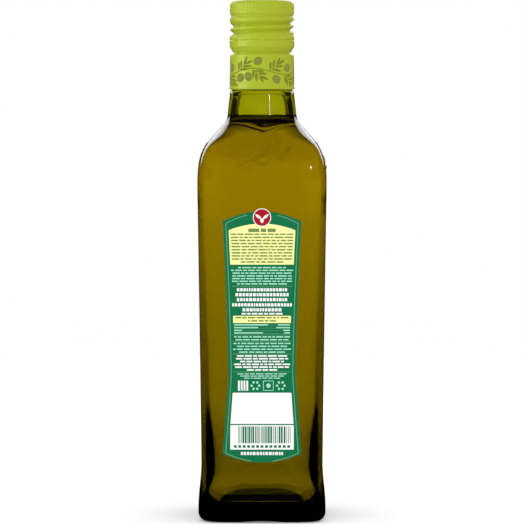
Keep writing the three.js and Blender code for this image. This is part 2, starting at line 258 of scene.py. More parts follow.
def add(tree, kind, inputs=None, **settings):
    """A node with its settings. An input's value is a number, a colour or another node's socket."""
    made = tree.nodes.new("ShaderNode" + kind)
    for key, value in settings.items():
        setattr(made, key, value)
    for key, value in (inputs or {}).items():
        if isinstance(value, bpy.types.NodeSocket):
            tree.links.new(value, made.inputs[key])
        else:
            made.inputs[key].default_value = value
    return made


def noise(tree, per_metre, detail=3.0, stretch=(1, 1, 1)):
    """Noise in the object's own space, with features about 1 / per_metre metres wide."""
    place = add(tree, "TexCoord").outputs["Object"]
    scaled = add(tree, "Mapping", {"Vector": place, "Scale": stretch}).outputs["Vector"]
    return add(tree, "TexNoise", {"Vector": scaled, "Scale": per_metre, "Detail": detail}).outputs["Fac"]


def remap(tree, value, low, high):
    """A noise's middle range, taken to the range from low to high."""
    inputs = {"Value": value, "From Min": 0.3, "From Max": 0.7, "To Min": low, "To Max": high}
    return add(tree, "MapRange", inputs).outputs["Result"]


def bump(tree, height, distance, strength=1.0):
    inputs = {"Height": height, "Distance": distance, "Strength": strength}
    return add(tree, "Bump", inputs).outputs["Normal"]


def blend(tree, share, a, b):
    made = add(tree, "Mix", {}, data_type="RGBA")
    tree.links.new(share, made.inputs["Factor"])
    for socket, colour in ((made.inputs[6], a), (made.inputs[7], b)):
        if isinstance(colour, bpy.types.NodeSocket):
            tree.links.new(colour, socket)
        else:
            socket.default_value = colour
    return made.outputs[2]


def multiply(tree, a, b):
    made = add(tree, "Mix", {}, data_type="RGBA", blend_type="MULTIPLY")
    made.inputs["Factor"].default_value = 1
    tree.links.new(a, made.inputs[6])
    tree.links.new(b, made.inputs[7])
    return made.outputs[2]


def finish_tree(tree, surface, volume=None):
    output = add(tree, "OutputMaterial", {"Surface": surface.outputs[0]})
    if volume:
        tree.links.new(volume.outputs[0], output.inputs["Volume"])


def clear_material(name, ior, absorption, waves, roughness):
    """A clear medium: absorption is per metre in red, green and blue, and waves are (metres, per metre)."""
    material, tree = new_tree(name)
    surface = add(tree, "BsdfPrincipled", {
        "Base Color": (1, 1, 1, 1),
        "Roughness": remap(tree, noise(tree, 90), 0.0, roughness),
        "Transmission Weight": 1.0,
        "Normal": bump(tree, noise(tree, waves[1], 1.0), waves[0]),
    })
    surface.inputs["IOR"].default_value = ior
    density = 1.1 * max(absorption)
    volume = add(tree, "VolumeAbsorption", {
        "Color": (*[1 - share / density for share in absorption], 1),
        "Density": density,
    })
    finish_tree(tree, surface, volume)
    return material


def paint_material():
    """Satin lacquer on rolled aluminium, a little warmer in places, with fine scuffs and an uneven gloss."""
    material, tree = new_tree("lacquer_lime")
    tint = remap(tree, noise(tree, 45), 0, 1)
    speckle = remap(tree, noise(tree, 2200, 2.0), 0, 1)
    colour = blend(tree, tint, srgb(173, 183, 28), srgb(176, 180, 29))
    surface = add(tree, "BsdfPrincipled", {
        "Base Color": blend(tree, speckle, colour, srgb(178, 187, 33)),
        "Roughness": remap(tree, noise(tree, 700), 0.34, 0.44),
        "Normal": bump(tree, noise(tree, 1500, 2.0), 0.00001, 0.5),
    })
    surface.inputs["Metallic"].default_value = 0.1
    surface.inputs["Coat Weight"].default_value = 0.5
    surface.inputs["Coat Roughness"].default_value = 0.06
    finish_tree(tree, surface)
    return material


def ink_material(name, colour, shade, gloss=0.55):
    """Ink on coated paper: the colour drifts towards a second shade over the fibres."""
    material, tree = new_tree(name)
    fibres = remap(tree, noise(tree, 3000, 4.0, (1, 1, 0.5)), 0, 1)
    patches = remap(tree, noise(tree, 120), 0, 0.4)
    surface = add(tree, "BsdfPrincipled", {
        "Base Color": blend(tree, patches, blend(tree, fibres, colour, shade), shade),
        "Roughness": remap(tree, noise(tree, 900), gloss, gloss + 0.12),
        "Normal": bump(tree, noise(tree, 4000, 3.0), 0.00001, 0.4),
    })
    surface.inputs["Specular IOR Level"].default_value = 0.15
    finish_tree(tree, surface)
    return material


GLASS = clear_material("olive_glass", 1.53, (128, 129, 780), (0.00012, 55), 0.01)
OIL_LOOK = clear_material("olive_oil", 1.46, (4.5, 13, 50), (0.00001, 20), 0.005)
LACQUER = paint_material()
BRANCH_INK = ink_material("branch_ink", srgb(116, 126, 22), srgb(126, 134, 28))
OLIVE_INK = ink_material("olive_ink", srgb(120, 128, 42), srgb(132, 138, 52))
OLIVE_LINES = ink_material("olive_lines", srgb(140, 149, 62), srgb(146, 154, 68))
GREEN = ink_material("label_green", srgb(2, 112, 67), srgb(1, 118, 72))
CREAM = ink_material("label_cream", srgb(252, 246, 158), srgb(255, 250, 168))
BARE_PAPER = ink_material("label_back", srgb(240, 240, 234), srgb(230, 230, 222))
WHITE = ink_material("label_white", srgb(252, 252, 250), srgb(245, 246, 244))
LINE = ink_material("label_line", srgb(98, 158, 112), srgb(110, 165, 120))
MINT = ink_material("label_mint", srgb(150, 220, 190), srgb(170, 228, 202))
DARK = ink_material("label_dark", srgb(105, 140, 70), srgb(120, 150, 82))
RED = ink_material("label_red", srgb(176, 16, 38), srgb(166, 12, 32))


# The glass.

def sprig_bumps():
    """The leaves and olives as (x, z, turn, length, width, is_leaf) on a face."""
    rise = math.atan2(STEM.high - STEM.low, STEM.right - STEM.left)
    bumps = []
    for i, share in enumerate(LEAF.places):
        x, z = stem_point(share)
        turn = rise + (-LEAF.lean if i % 2 else LEAF.lean)
        middle = (x + LEAF.length / 2 * math.cos(turn), z + LEAF.length / 2 * math.sin(turn))
        bumps.append((*middle, turn, LEAF.length, LEAF.width, True))
    for share in OLIVE.places:
        x, z = stem_point(share)
        bumps.append((x + OLIVE.shift, z - OLIVE.drop, OLIVE.turn, OLIVE.length, OLIVE.width, False))
    return bumps


def stem_point(share):
    """A point of the sprig's stem, which rises from left to right in a shallow bow."""
    bow = STEM.bow * math.sin(math.pi * share)
    return mix(STEM.left, STEM.right, share), mix(STEM.low, STEM.high, share) + bow


def slope_stretch(z):
    """Length along the outer face for each millimetre of height."""
    return math.hypot(1, (wall_half(z + 0.1) - wall_half(z - 0.1)) / 0.2)


def relief_at(across, z):
    """Height of the sprig's relief at points of a face."""
    best = np.zeros_like(across)
    for x0, z0, turn, length, width, is_leaf in sprig_bumps():
        du, dv = across - x0, (z - z0) * slope_stretch(z0)
        along = (du * math.cos(turn) + dv * math.sin(turn)) / (length / 2)
        aside = (dv * math.cos(turn) - du * math.sin(turn)) / (width / 2)
        if is_leaf:
            edge = np.clip(1 - np.abs(along), 0, 1) ** 0.6 + 1e-6
            rim = 1 - np.abs(aside) / edge
            vein = 0.3 * np.exp(-((aside / 0.16) ** 2))
            height = RELIEF * smooth(rim / 0.35) * (np.abs(along) < 1) * (1 - vein)
        else:
            height = RELIEF * np.sqrt(np.clip(1 - along**2 - aside**2, 0, 1))
        best = np.maximum(best, height)
    places = np.array([stem_point(share) for share in steps(0, 1, 40)])
    stretch = slope_stretch((STEM.low + STEM.high) / 2)
    for x0, z0 in places:
        gap = np.hypot(across - x0, (z - z0) * stretch)
        best = np.maximum(best, np.sqrt(np.clip(STEM.radius**2 - gap**2, 0, None)))
    return best


def raise_relief(rings):
    """The rings of the shoulder, moved along their normals where the four sprigs stand up."""
    grid = np.array(rings)
    around = np.roll(grid, -1, axis=1) - np.roll(grid, 1, axis=1)
    upward = np.gradient(grid, axis=0)
    normal = np.cross(around, upward)
    normal /= np.linalg.norm(normal, axis=2, keepdims=True)
    for turn in range(4):
        angle = turn * math.pi / 2
        right = np.array([math.cos(angle), math.sin(angle), 0])
        out = np.array([math.sin(angle), -math.cos(angle), 0])
        across, forward = grid @ right, grid @ out
        height = relief_at(across, grid[:, :, 2]) * (forward > np.abs(across))
        grid = grid + normal * height[:, :, None]
    return list(grid)


COARSE, FINE = 300, 600
HOLLOW_SHARES = (0.1, 0.3, 0.5, 0.65, 0.78, 0.88, 0.96)
FLOOR_SHARES = (0.97, 0.94, 0.9, 0.85, 0.79, 0.7, 0.55, 0.35, 0.12)
OIL_SHARES = (0.15, 0.35, 0.55, 0.68, 0.77, 0.84, 0.89, 0.93, 0.96, 0.985)
RELIEF_ZONE = Sizes(low=167, high=190)


def underside_rings():
    hollow = [
        ring(
            RING.inner * share,
            HOLLOW.height * (1 - share**HOLLOW.curve),
            mix(EXPONENT.round, EXPONENT.body, share**3),
        )
        for share in HOLLOW_SHARES
    ]
    outer = HEEL.half - HEEL.radius
    flat = [ring(half, 0, EXPONENT.body, RING.lift) for half in (RING.inner, outer)]
    heel = [
        ring(
            outer + HEEL.radius * math.sin(share * math.pi / 2),
            HEEL.radius * (1 - math.cos(share * math.pi / 2)),
            EXPONENT.body,
            RING.lift * (1 - share),
        )
        for share in steps(0, 1, 10)[1:]
    ]
    return [*hollow, *flat, *heel]


def outer_rings():
    low, high = RELIEF_ZONE.low, RELIEF_ZONE.high
    neck_low = neck_start().z

    def at(z, count):
        return ring(wall_half(z), z, exponent_at(z, EXPONENT.body), count=count)

    lower = [*steps(HEEL.z, WAIST.z, 12), *steps(WAIST.z, low, 26)[1:-1]]
    shoulder = raise_relief([at(z, FINE) for z in steps(low, high, 62)])
    upper = [*steps(high, neck_low, 18)[1:], *steps(neck_low, COLLAR_TOP - NECK.edge_round, 8)[1:]]
    return [*[at(z, COARSE) for z in lower], *shoulder, *[at(z, COARSE) for z in upper]]


def finish_rings():
    step = TOTAL_HEIGHT - FINISH.step_depth
    lip = TOTAL_HEIGHT - FINISH.lip_depth
    outline = [
        (wall_half(COLLAR_TOP, NECK.edge_round), COLLAR_TOP),
        (NECK_RING.radius, COLLAR_TOP),
        (NECK_RING.radius, step),
        (FINISH.radius, step + FINISH.step_rise),
        (FINISH.radius, lip - FINISH.edge_round),
        (FINISH.radius - FINISH.edge_round, lip),
        (FINISH.bore + FINISH.edge_round, lip),
        (FINISH.bore, lip - FINISH.edge_round),
        (FINISH.bore, BORE_FLARE.top),
    ]
    return [ring(half, z) for half, z in outline]


def cavity_rings(top, grow=0.0):
    """The cavity from a height down to the middle of its floor, let out by `grow`."""
    neck_top = neck_start(wall_thickness(OIL.level)).z
    heights = [
        *steps(BORE_FLARE.bottom, neck_top, 8),
        *steps(neck_top, DOME.z, 26)[1:],
        *steps(DOME.z, WAIST.z, 22)[1:],
        *steps(WAIST.z, FLOOR.edge + FLOOR.fillet, 8)[1:],
    ]
    wall = [
        ring(inner_half(z) + grow, z, exponent_at(z, EXPONENT.cavity))
        for z in [top, *[z for z in heights if z < top]]
    ]
    return [*wall, *floor_rings(grow)]


def floor_rings(grow):
    """The cavity's floor: a round fillet at the wall, then a low crown up to the middle."""
    fillet_top = FLOOR.edge + FLOOR.fillet
    wall = inner_half(fillet_top)
    rings = []
    for angle in steps(0, math.pi / 2, 10)[1:]:
        half = wall - FLOOR.fillet * (1 - math.cos(angle))
        z = fillet_top - FLOOR.fillet * math.sin(angle)
        rings.append(ring(half + grow, z - grow, EXPONENT.cavity))
    for share in FLOOR_SHARES:
        z = mix(FLOOR.crown, FLOOR.edge, share**FLOOR.crown_curve) - grow
        exponent = mix(EXPONENT.round, EXPONENT.cavity, share**2)
        rings.append(ring((wall - FLOOR.fillet) * share, z, exponent))
    return rings


def make_glass():
    flare = [
        ring(mix(FINISH.bore, inner_half(BORE_FLARE.bottom), float(smooth(share))), z)
        for share, z in zip(steps(0, 1, 8)[1:-1], steps(BORE_FLARE.top, BORE_FLARE.bottom, 8)[1:-1])
    ]
    rings = [*underside_rings(), *outer_rings(), *finish_rings(), *flare, *cavity_rings(BORE_FLARE.bottom)]
    points, faces = loft(rings)
    return add_piece("glass_bottle", points, faces, GLASS, "bottle_glass", math.radians(60))


def make_oil():
    contact = OIL.level + OIL.climb
    wall = cavity_rings(contact, OIL.reach)
    edge = inner_half(contact) + OIL.reach
    surface = []
    for share in OIL_SHARES:
        radius = edge * share
        surface.append(ring(radius, OIL.level + OIL.climb * math.exp((radius - edge) / OIL.spread)))
    points, faces = loft([*surface, *wall][::-1])
    return add_piece("oil_fill", points, faces, OIL_LOOK, "oil", math.radians(60))


# The closure.

def closure_radius(depth):
    depths, radii = zip(*CLOSURE_OUTLINE)
    i = min(max(int(np.searchsorted(depths, depth)), 1), len(depths) - 1)
    share = float(smooth((depth - depths[i - 1]) / (depths[i] - depths[i - 1])))
    return mix(radii[i - 1], radii[i], share)


def thread_groove(depth, angle):
    """How deep the rolled thread is at a depth below the top, in the direction of the angle."""
    deepest = np.zeros_like(angle)
    for turn in (-1, 0, 1, 2):
        run = turn - angle / (2 * math.pi)
        begun = smooth((run - THREAD.first_turn) / THREAD.fade)
        strength = begun * smooth((THREAD.last_turn - run) / THREAD.fade)
        away = np.abs(depth - THREAD.start - THREAD.pitch * run)
        deepest = np.maximum(deepest, THREAD.depth * strength * (1 - smooth(away / THREAD.half_width)))
    return deepest if THREAD.zone_top < depth < THREAD.zone_bottom else np.zeros_like(angle)


def rib_groove(depth, angle):
    strength = max(
        float(smooth((depth - low) / RIBS.fade + 1) * smooth((high - depth) / RIBS.fade + 1))
        for low, high in RIBS.zones
    )
    return strength * RIBS.depth * (0.5 - 0.5 * np.cos(RIBS.count * angle)) ** 1.5


def break_groove(depth, angle):
    """The cut line round the closure, left whole at its bridges."""
    away = 1 - float(smooth(abs(depth - BREAK_LINE.depth) / BREAK_LINE.half_width))
    place = (angle * BREAK_LINE.bridges / (2 * math.pi)) % 1
    is_cut = smooth((place - BREAK_LINE.bridge_share) / 0.05) * smooth((1 - place) / 0.05)
    return BREAK_LINE.groove * away * is_cut


def lip_rise(depth):
    return LIP.rise * (1 - float(smooth(abs(depth - LIP.depth) / LIP.half_width)))


CLOSURE_POINTS = 576

# The depths of the closure's rings, from its foot up, as (from, to, number of steps).
CLOSURE_STRETCHES = [
    (43.5, 41.7, 8), (40, 27.4, 6), (26.7, 22.4, 14), (21.4, 20.5, 1), (19.9, 18.9, 6), (18.6, 9.6, 32),
    (9.3, 6.1, 11), (5.8, 2.4, 6),
]
CROWN_RADII = (12.6, 11.5, 8, 4)


def closure_ring(depth, radius=None):
    """A ring of the closure's outside at a depth below its top, or a plain ring of the radius given."""
    even = np.arange(CLOSURE_POINTS) * 2 * math.pi / CLOSURE_POINTS
    angle = np.arctan2(np.sin(even), np.cos(even))
    if radius is None:
        radius = closure_radius(depth) + lip_rise(depth) - thread_groove(depth, angle)
        radius = radius - rib_groove(depth, angle) - break_groove(depth, angle)
    spread = radius * np.ones_like(angle)
    height = np.full_like(angle, TOTAL_HEIGHT - depth)
    return np.stack([spread * np.cos(angle), spread * np.sin(angle), height], axis=1)


def make_closure():
    inside = [
        closure_ring(CLOSURE.top_inside, CLOSURE.bore * 0.5),
        closure_ring(CLOSURE.top_inside, CLOSURE.bore),
        closure_ring(CLOSURE.shoulder - CLOSURE.shoulder_rise, CLOSURE.bore),
        closure_ring(CLOSURE.shoulder, CLOSURE.skirt_bore),
        closure_ring(CLOSURE.height, CLOSURE.skirt_bore),
    ]
    outside = [closure_ring(depth) for stretch in CLOSURE_STRETCHES for depth in steps(*stretch)]
    top_edge = []
    for angle in steps(0, math.pi / 2, 7)[1:]:
        depth = CLOSURE.top_round * (1 - math.sin(angle))
        inset = CLOSURE.top_round * (1 - math.cos(angle))
        points = closure_ring(CLOSURE.top_round)
        points[:, :2] *= 1 - inset / closure_radius(CLOSURE.top_round)
        points[:, 2] = TOTAL_HEIGHT - depth
        top_edge.append(points)
    crown = [closure_ring(0, radius) for radius in CROWN_RADII]
    points, faces = loft([*inside, *outside, *top_edge, *crown])
    return add_piece("closure_shell", points, faces, LACQUER, "closure", math.radians(50))


# Print: thin closed patches that follow a curved surface.

class Print:
    """The patches of one ink. `surface` turns flat coordinates and a height above it into a point."""

    def __init__(self, surface, low, high):
        self.surface, self.low, self.high = surface, low, high
        self.points, self.faces = [], []

    def patch(self, grid):
        """A closed thin body over a grid of flat points: rows go up and columns to the right."""
        rows, columns = len(grid), len(grid[0])
        start = len(self.points)
        layer = rows * columns
        for height in (self.low, self.high):
            self.points += [self.surface(x, z, height) for row in grid for x, z in row]

        def at(row, column, front):
            return start + front * layer + row * columns + column

        for r in range(rows - 1):
            for c in range(columns - 1):
                self.faces.append([at(r, c, 1), at(r, c + 1, 1), at(r + 1, c + 1, 1), at(r + 1, c, 1)])
                self.faces.append([at(r, c, 0), at(r + 1, c, 0), at(r + 1, c + 1, 0), at(r, c + 1, 0)])
            self.faces.append([at(r, 0, 0), at(r, 0, 1), at(r + 1, 0, 1), at(r + 1, 0, 0)])
            end = columns - 1
            self.faces.append([at(r, end, 0), at(r + 1, end, 0), at(r + 1, end, 1), at(r, end, 1)])
        for c in range(columns - 1):
            self.faces.append([at(0, c, 0), at(0, c + 1, 0), at(0, c + 1, 1), at(0, c, 1)])
            top = rows - 1
            self.faces.append([at(top, c, 0), at(top, c, 1), at(top, c + 1, 1), at(top, c + 1, 0)])

    def bar(self, left, right, z, height, columns=2):
        xs = steps(left, right, columns)
        self.patch([[(x, z - height / 2) for x in xs], [(x, z + height / 2) for x in xs]])

    def panel(self, low, high, half, rows=6, columns=8, arc=0.0):
        """A field between two heights, with its half-width as a function of height and its top arched."""
        grid = []
        for share in steps(0, 1, rows):
            row = []
            for side in steps(-1, 1, columns):
                z = mix(low, high + arc * (1 - side**2), share)
                row.append((side * half(mix(low, high, share)), z))
            grid.append(row)
        self.patch(grid)

    def lens(self, x, z, turn, length, width, power, columns=8):
        """A leaf, an olive or a disc: its ends are round for a power of 0.5 and pointed for a higher one."""
        cosine, sine = math.cos(turn), math.sin(turn)
        grid = [[], [], []]
        for share in -np.cos(steps(0, math.pi, columns)):
            half = max(width / 2 * (1 - share**2) ** power, 0.01)
            for row, side in zip(grid, (-1, 0, 1)):
                du, dv = share * length / 2, side * half
                row.append((x + du * cosine - dv * sine, z + du * sine + dv * cosine))
        self.patch(grid)

    def strip(self, line, width):
        """A ribbon along a line of flat points."""
        line = np.array(line, float)
        heading = np.gradient(line, axis=0)
        heading /= np.linalg.norm(heading, axis=1, keepdims=True)
        aside = np.stack([-heading[:, 1], heading[:, 0]], axis=1) * width / 2
        self.patch([(line - aside).tolist(), (line + aside).tolist()])

    def finish(self, name, material, slot, node):
        return add_piece(name, self.points, self.faces, material, node, math.radians(30))


def face_surface(x, z, height):
    """A point of the face that looks to -Y, or at a height in front of it."""
    half = wall_half(z)
    exponent = exponent_at(z, EXPONENT.body)
    return (x, -half * (1 - abs(x / half) ** exponent) ** (1 / exponent) - height, z)


def closure_surface(around, depth, height):
    """A point of the closure's skirt, from a length round it to the right of the -Y side and a depth."""
    radius = closure_radius(depth) + height
    angle = around / radius - math.pi / 2
    return (radius * math.cos(angle), radius * math.sin(angle), TOTAL_HEIGHT - depth)


# The olive branch printed round the closure's skirt. Twigs are (share of the stem, side), the leaves of a
# twig (share of the twig, turn in degrees, length), and olives (share of the stem, rise, turn).
BRANCH = Sizes(
    repeats=3, middle=34.7, wave=1.5, wave_start=0.12, stem_width=0.42, leaf_width=1.3, olive=4.7,
    olive_slimness=0.86,
)
TWIG = Sizes(
    length=5.6, lean=math.radians(40), width_share=0.7, bend=0.15,
    places=[(0.1, 1), (0.35, -1), (0.6, 1), (0.85, -1)],
)
TWIG_LEAVES = [
    (0.15, 46, 4.2), (0.3, -44, 5.2), (0.5, 42, 4.3), (0.68, -38, 5), (0.9, 24, 4.4), (1, -16, 4.8),
]
OLIVES = [(0.15, -3.4, 0.5), (0.29, -3.9, 2.2), (0.44, 3.6, 0.6), (0.72, -3.0, 2.4), (0.93, 3.1, 0.2)]


def closure_print(x, z, height):
    return closure_surface(x, -z, height)


def print_branch():
    """A wavy stem round the skirt, with twigs of leaves to either side in turn and olives between them."""
    span = 2 * math.pi * closure_radius(BRANCH.middle) / BRANCH.repeats
    leaves, olives, shine = (Print(closure_print, -0.02, height) for height in (0.03, 0.04, 0.055))
    draw = random.Random(5)

    def stem(share):
        wave = BRANCH.wave * math.sin(2 * math.pi * (share - BRANCH.wave_start))
        return span * (share - 0.5), -BRANCH.middle + wave

    leaves.strip([stem(share) for share in steps(0, BRANCH.repeats * 0.999, 90)], BRANCH.stem_width)
    for repeat in range(BRANCH.repeats):
        for place, side in TWIG.places:
            x, z = stem(repeat + place)
            lean = side * TWIG.lean + draw.uniform(-0.08, 0.08)
            tip = (x + TWIG.length * math.cos(lean), z + TWIG.length * math.sin(lean))
            bend = ((x + tip[0]) / 2, (z + tip[1]) / 2 + side * TWIG.bend)
            leaves.strip([(x, z), bend, tip], BRANCH.stem_width * TWIG.width_share)
            for reach, spread, length in TWIG_LEAVES:
                turn = lean + side * math.radians(spread) + draw.uniform(-0.1, 0.1)
                length *= draw.uniform(0.9, 1.08)
                base = (mix(x, tip[0], reach), mix(z, tip[1], reach))
                middle = (base[0] + length / 2 * math.cos(turn), base[1] + length / 2 * math.sin(turn))
                leaves.lens(*middle, turn, length, BRANCH.leaf_width, 0.8)
        for place, rise, turn in OLIVES:
            x, z = stem(repeat + place)
            size = BRANCH.olive * draw.uniform(0.9, 1.05)
            olives.lens(x, z + rise, turn, size, size * BRANCH.olive_slimness, 0.5, 14)
            for offset in (-0.9, 0, 0.9):
                line = [(x + offset + 0.25 * size * t, z + rise + 0.3 * size * t) for t in (-0.8, 0, 0.8)]
                shine.strip(line, 0.16)
    leaves.finish("closure_branch", BRANCH_INK, "closure", "closure")
    olives.finish("closure_olives", OLIVE_INK, "closure", "closure")
    shine.finish("closure_olive_lines", OLIVE_LINES, "closure", "closure")


# The label.

def label_half_at_share(share):
    if share < LABEL.waist_share:
        curve = (1 - share / LABEL.waist_share) ** LABEL.lower_curve
        return mix(LABEL.waist_half, LABEL.bottom_half, curve)
    curve = ((share - LABEL.waist_share) / (1 - LABEL.waist_share)) ** LABEL.upper_curve
    return mix(LABEL.waist_half, LABEL.top_half, curve)


def label_half(z):
    """The label's half-width at a height."""
    return label_half_at_share(min(1, max(0, (z - LABEL.bottom) / (LABEL.top - LABEL.bottom))))


def label_top(side):
    arc = LABEL.top + LABEL.top_arc * (1 - side**2)
    drop = side * LABEL.top_half / SEAL.radius
    if abs(drop) >= 1:
        return arc
    return max(arc, SEAL.z + SEAL.radius * math.sqrt(1 - drop**2))


def label_bottom(side):
    return LABEL.bottom - LABEL.bottom_arc * (1 - side**2)


def label_print(low, high):
    return Print(face_surface, low, high)


def finish_label_print(ink, name, material):
    ink.finish("label_" + name, material, "label", "label_near")


def make_paper():
    """The sheet, bare on the side that is stuck to the glass and printed green all over on the other."""
    back = label_print(PAPER.back, PAPER.print)
    front = label_print(PAPER.print - 0.01, PAPER.front)
    seal_side = SEAL.radius / LABEL.top_half
    under_seal = (seal_side * -np.cos(steps(0, math.pi, 16)))[1:-1]
    sides = [*steps(-1, -seal_side, 12), *under_seal, *steps(seal_side, 1, 12)]
    grid = []
    for share in steps(0, 1, 60):
        half = label_half_at_share(share)
        grid.append([(side * half, mix(label_bottom(side), label_top(side), share)) for side in sides])
    back.patch(grid)
    finish_label_print(back, "back", BARE_PAPER)
    front.patch(grid)
    finish_label_print(front, "paper", GREEN)


FIELD_INSET = 2.65
BORDER = Sizes(inset=1.45, width=0.4, foot=0.35, head=1.0, open_top=0.42, open_bottom=0.3)

# The label's print from the top down, with heights above the ground. A row is (height, half-width).
CREAM_FIELD = Sizes(low=125.55, high=142.15, arc=3.2)
HEADING = Sizes(z=142.1, height=1.7, words=[(-6.6, -1.3), (-0.6, 2.0), (2.7, 6.6)])
STORY = Sizes(top=140.2, edge_top=140, pitch=1.49, count=9, margin=0.9)
STORY_END = (126.85, 10.2)
NOTE_ROWS = [
    (124.1, 11.6), (122.8, 15), (121.45, 14.2), (120.1, 14.4), (118.8, 14.4), (117.5, 14.5), (116.2, 12),
]
RULES = [(115.1, 14.7), (91.5, 14.2), (88.4, 14.1), (82.3, 14), (73.6, 13.9)]
BOLD_ROWS = [(113.4, 12.1), (111.0, 12.8), (108.6, 12.1), (106.1, 14.4), (103.7, 9.4)]
BOLD_END = (101.8, 9.9)
CREAM_STRIP = Sizes(low=97.3, high=100.8, half=13.95)
STRIP_ROWS = [(99.9, 12.8), (98.35, 6.8)]

# A line of the table is (height, length of its left bar, length of its right bar).
TABLE = Sizes(
    half=13.5, leader_half=13.1, leader_drop=0.2, leader=0.16,
    lines=[(96.4, 16.4, 5.8), (95.05, 11.6, 6.6), (93.75, 3.9, 3.2), (92.5, 14, 2.8)],
)
SMALL_ROWS = [(90.6, 13.5), (89.2, 12.8), (87.4, 13.8), (86.0, 12.1), (84.6, 14), (83.2, 11.1)]

# A block is rows of these half-widths, a pitch apart.
WHITE_BLOCK = Sizes(top=81.35, pitch=1.36, halves=[12.1, 12.6, 10.6, 13.5, 13.0, 7.3])
MINT_BLOCK = Sizes(top=72.6, pitch=1.02, halves=[11.8, 10.6, 8.7])
WHITE_FIELD = Sizes(low=48.3, high=63.45)
CODE_FIELD = Sizes(low=35.8, high=47.7, half=15.35)
FOOT_ROW = (33.9, 10.2)
ROW_HEIGHT = Sizes(fine=0.5, small=0.62, plain=0.72, wide=0.75, rule=0.22)
BOLD = Sizes(height=1.5, words=(0.7, 1.5), gap=0.4)

# The marks, the code's bars and its dashes, as places and sizes on the face.
MARKS = Sizes(z=66.9, stripes=4, stripe_left=-11.6, stripe_right=-10.75, stripe_pitch=1.35, stripe_height=4.9)
DOTS = Sizes(centres=(-3.2, 9.1), count=6, ring=1.8, length=1.25, width=1.1)
FRAMED_DISC = Sizes(left=0.7, right=5.5, middle=3.1, rise=2.3, reach=2.4, line=0.3, height=4.6, disc=2.2)
CODE = Sizes(
    left=-11.4, right=13.6, z=43.0, height=8.2, bars=(0.3, 0.3, 0.55, 0.85), gaps=(0.28, 0.28, 0.5),
    dashes=13, dash_left=-13.6, dash_right=-12.2, dash_pitch=2.15, dash_z=37.3, dash_height=1.2,
)


def inset_half(inset):
    return lambda z: label_half(z) - inset


def print_border(ink):
    """A pale line inside the label's edge, open at the seal and at the bottom's middle."""
    half = inset_half(BORDER.inset)
    low, high = LABEL.bottom + BORDER.foot, LABEL.top - BORDER.head
    for side in (-1, 1):
        top = [
            (side * half(high) * share, high + LABEL.top_arc * (1 - share**2))
            for share in steps(BORDER.open_top, 1, 10)
        ]
        upright = [(side * half(z), z) for z in steps(high, low, 40)]
        foot = [
            (side * half(low) * share, low - LABEL.bottom_arc * (1 - share**2))
            for share in steps(1, BORDER.open_bottom, 8)
        ]
        for line in (top, upright, foot):
            ink.strip(line, BORDER.width)


def print_row(ink, draw, z, half, height, words=(1.2, 4.6), gap=0.55):
    """A line of print as plain bars of random lengths, filled out to both ends."""
    lengths = []
    while sum(lengths) + gap * len(lengths) < 2 * half:
        lengths.append(draw.uniform(*words))
    scale = (2 * half - gap * (len(lengths) - 1)) / sum(lengths)
    x = -half
    for length in lengths:
        ink.bar(x, x + length * scale, z, height)
        x += length * scale + gap


def print_label():
    make_paper()
    draw = random.Random(11)
    top = PAPER.front
    cream, white, line, mint, dark, code = (
        label_print(top - 0.01, top + height) for height in (0.02, 0.02, 0.02, 0.02, 0.04, 0.04)
    )
    fields = inset_half(FIELD_INSET)
    print_border(line)

    cream.panel(CREAM_FIELD.low, CREAM_FIELD.high, fields, 8, 16, arc=CREAM_FIELD.arc)
    for left, right in HEADING.words:
        dark.bar(left, right, HEADING.z, HEADING.height)
    for i in range(STORY.count):
        half = fields(STORY.edge_top - STORY.pitch * i) - STORY.margin
        print_row(dark, draw, STORY.top - STORY.pitch * i, half, ROW_HEIGHT.plain)
    print_row(dark, draw, *STORY_END, ROW_HEIGHT.plain)

    for z, half in NOTE_ROWS:
        print_row(mint, draw, z, half, ROW_HEIGHT.small)
    for z, half in RULES:
        line.bar(-half, half, z, ROW_HEIGHT.rule, 8)
    for z, half in BOLD_ROWS:
        print_row(white, draw, z, half, BOLD.height, BOLD.words, BOLD.gap)
    print_row(white, draw, *BOLD_END, ROW_HEIGHT.wide)

    cream.panel(CREAM_STRIP.low, CREAM_STRIP.high, lambda z: CREAM_STRIP.half, 2, 8)
    for z, half in STRIP_ROWS:
        print_row(dark, draw, z, half, ROW_HEIGHT.wide)
    for z, label, value in TABLE.lines:
        mint.bar(-TABLE.half, -TABLE.half + label, z, ROW_HEIGHT.small)
        mint.bar(TABLE.half - value, TABLE.half, z, ROW_HEIGHT.small)
        line.bar(-TABLE.leader_half + label, TABLE.leader_half - value, z - TABLE.leader_drop, TABLE.leader)
    for z, half in SMALL_ROWS:
        print_row(mint, draw, z, half, ROW_HEIGHT.small)
    for ink, block, height in ((white, WHITE_BLOCK, ROW_HEIGHT.plain), (mint, MINT_BLOCK, ROW_HEIGHT.fine)):
        for i, half in enumerate(block.halves):
            print_row(ink, draw, block.top - block.pitch * i, half, height)
    print_marks(white, mint)

    white.panel(WHITE_FIELD.low, WHITE_FIELD.high, fields, 6, 8)
    white.panel(CODE_FIELD.low, CODE_FIELD.high, lambda z: CODE_FIELD.half, 6, 8)
    print_bar_code(code, draw)
    print_row(white, draw, *FOOT_ROW, BOLD.height, BOLD.words, BOLD.gap)
    print_seal()
    for ink, name, material in (
        (cream, "cream", CREAM), (white, "white", WHITE), (line, "line", LINE), (mint, "mint", MINT),
        (dark, "dark", DARK), (code, "code", GREEN),
    ):
        finish_label_print(ink, name, material)


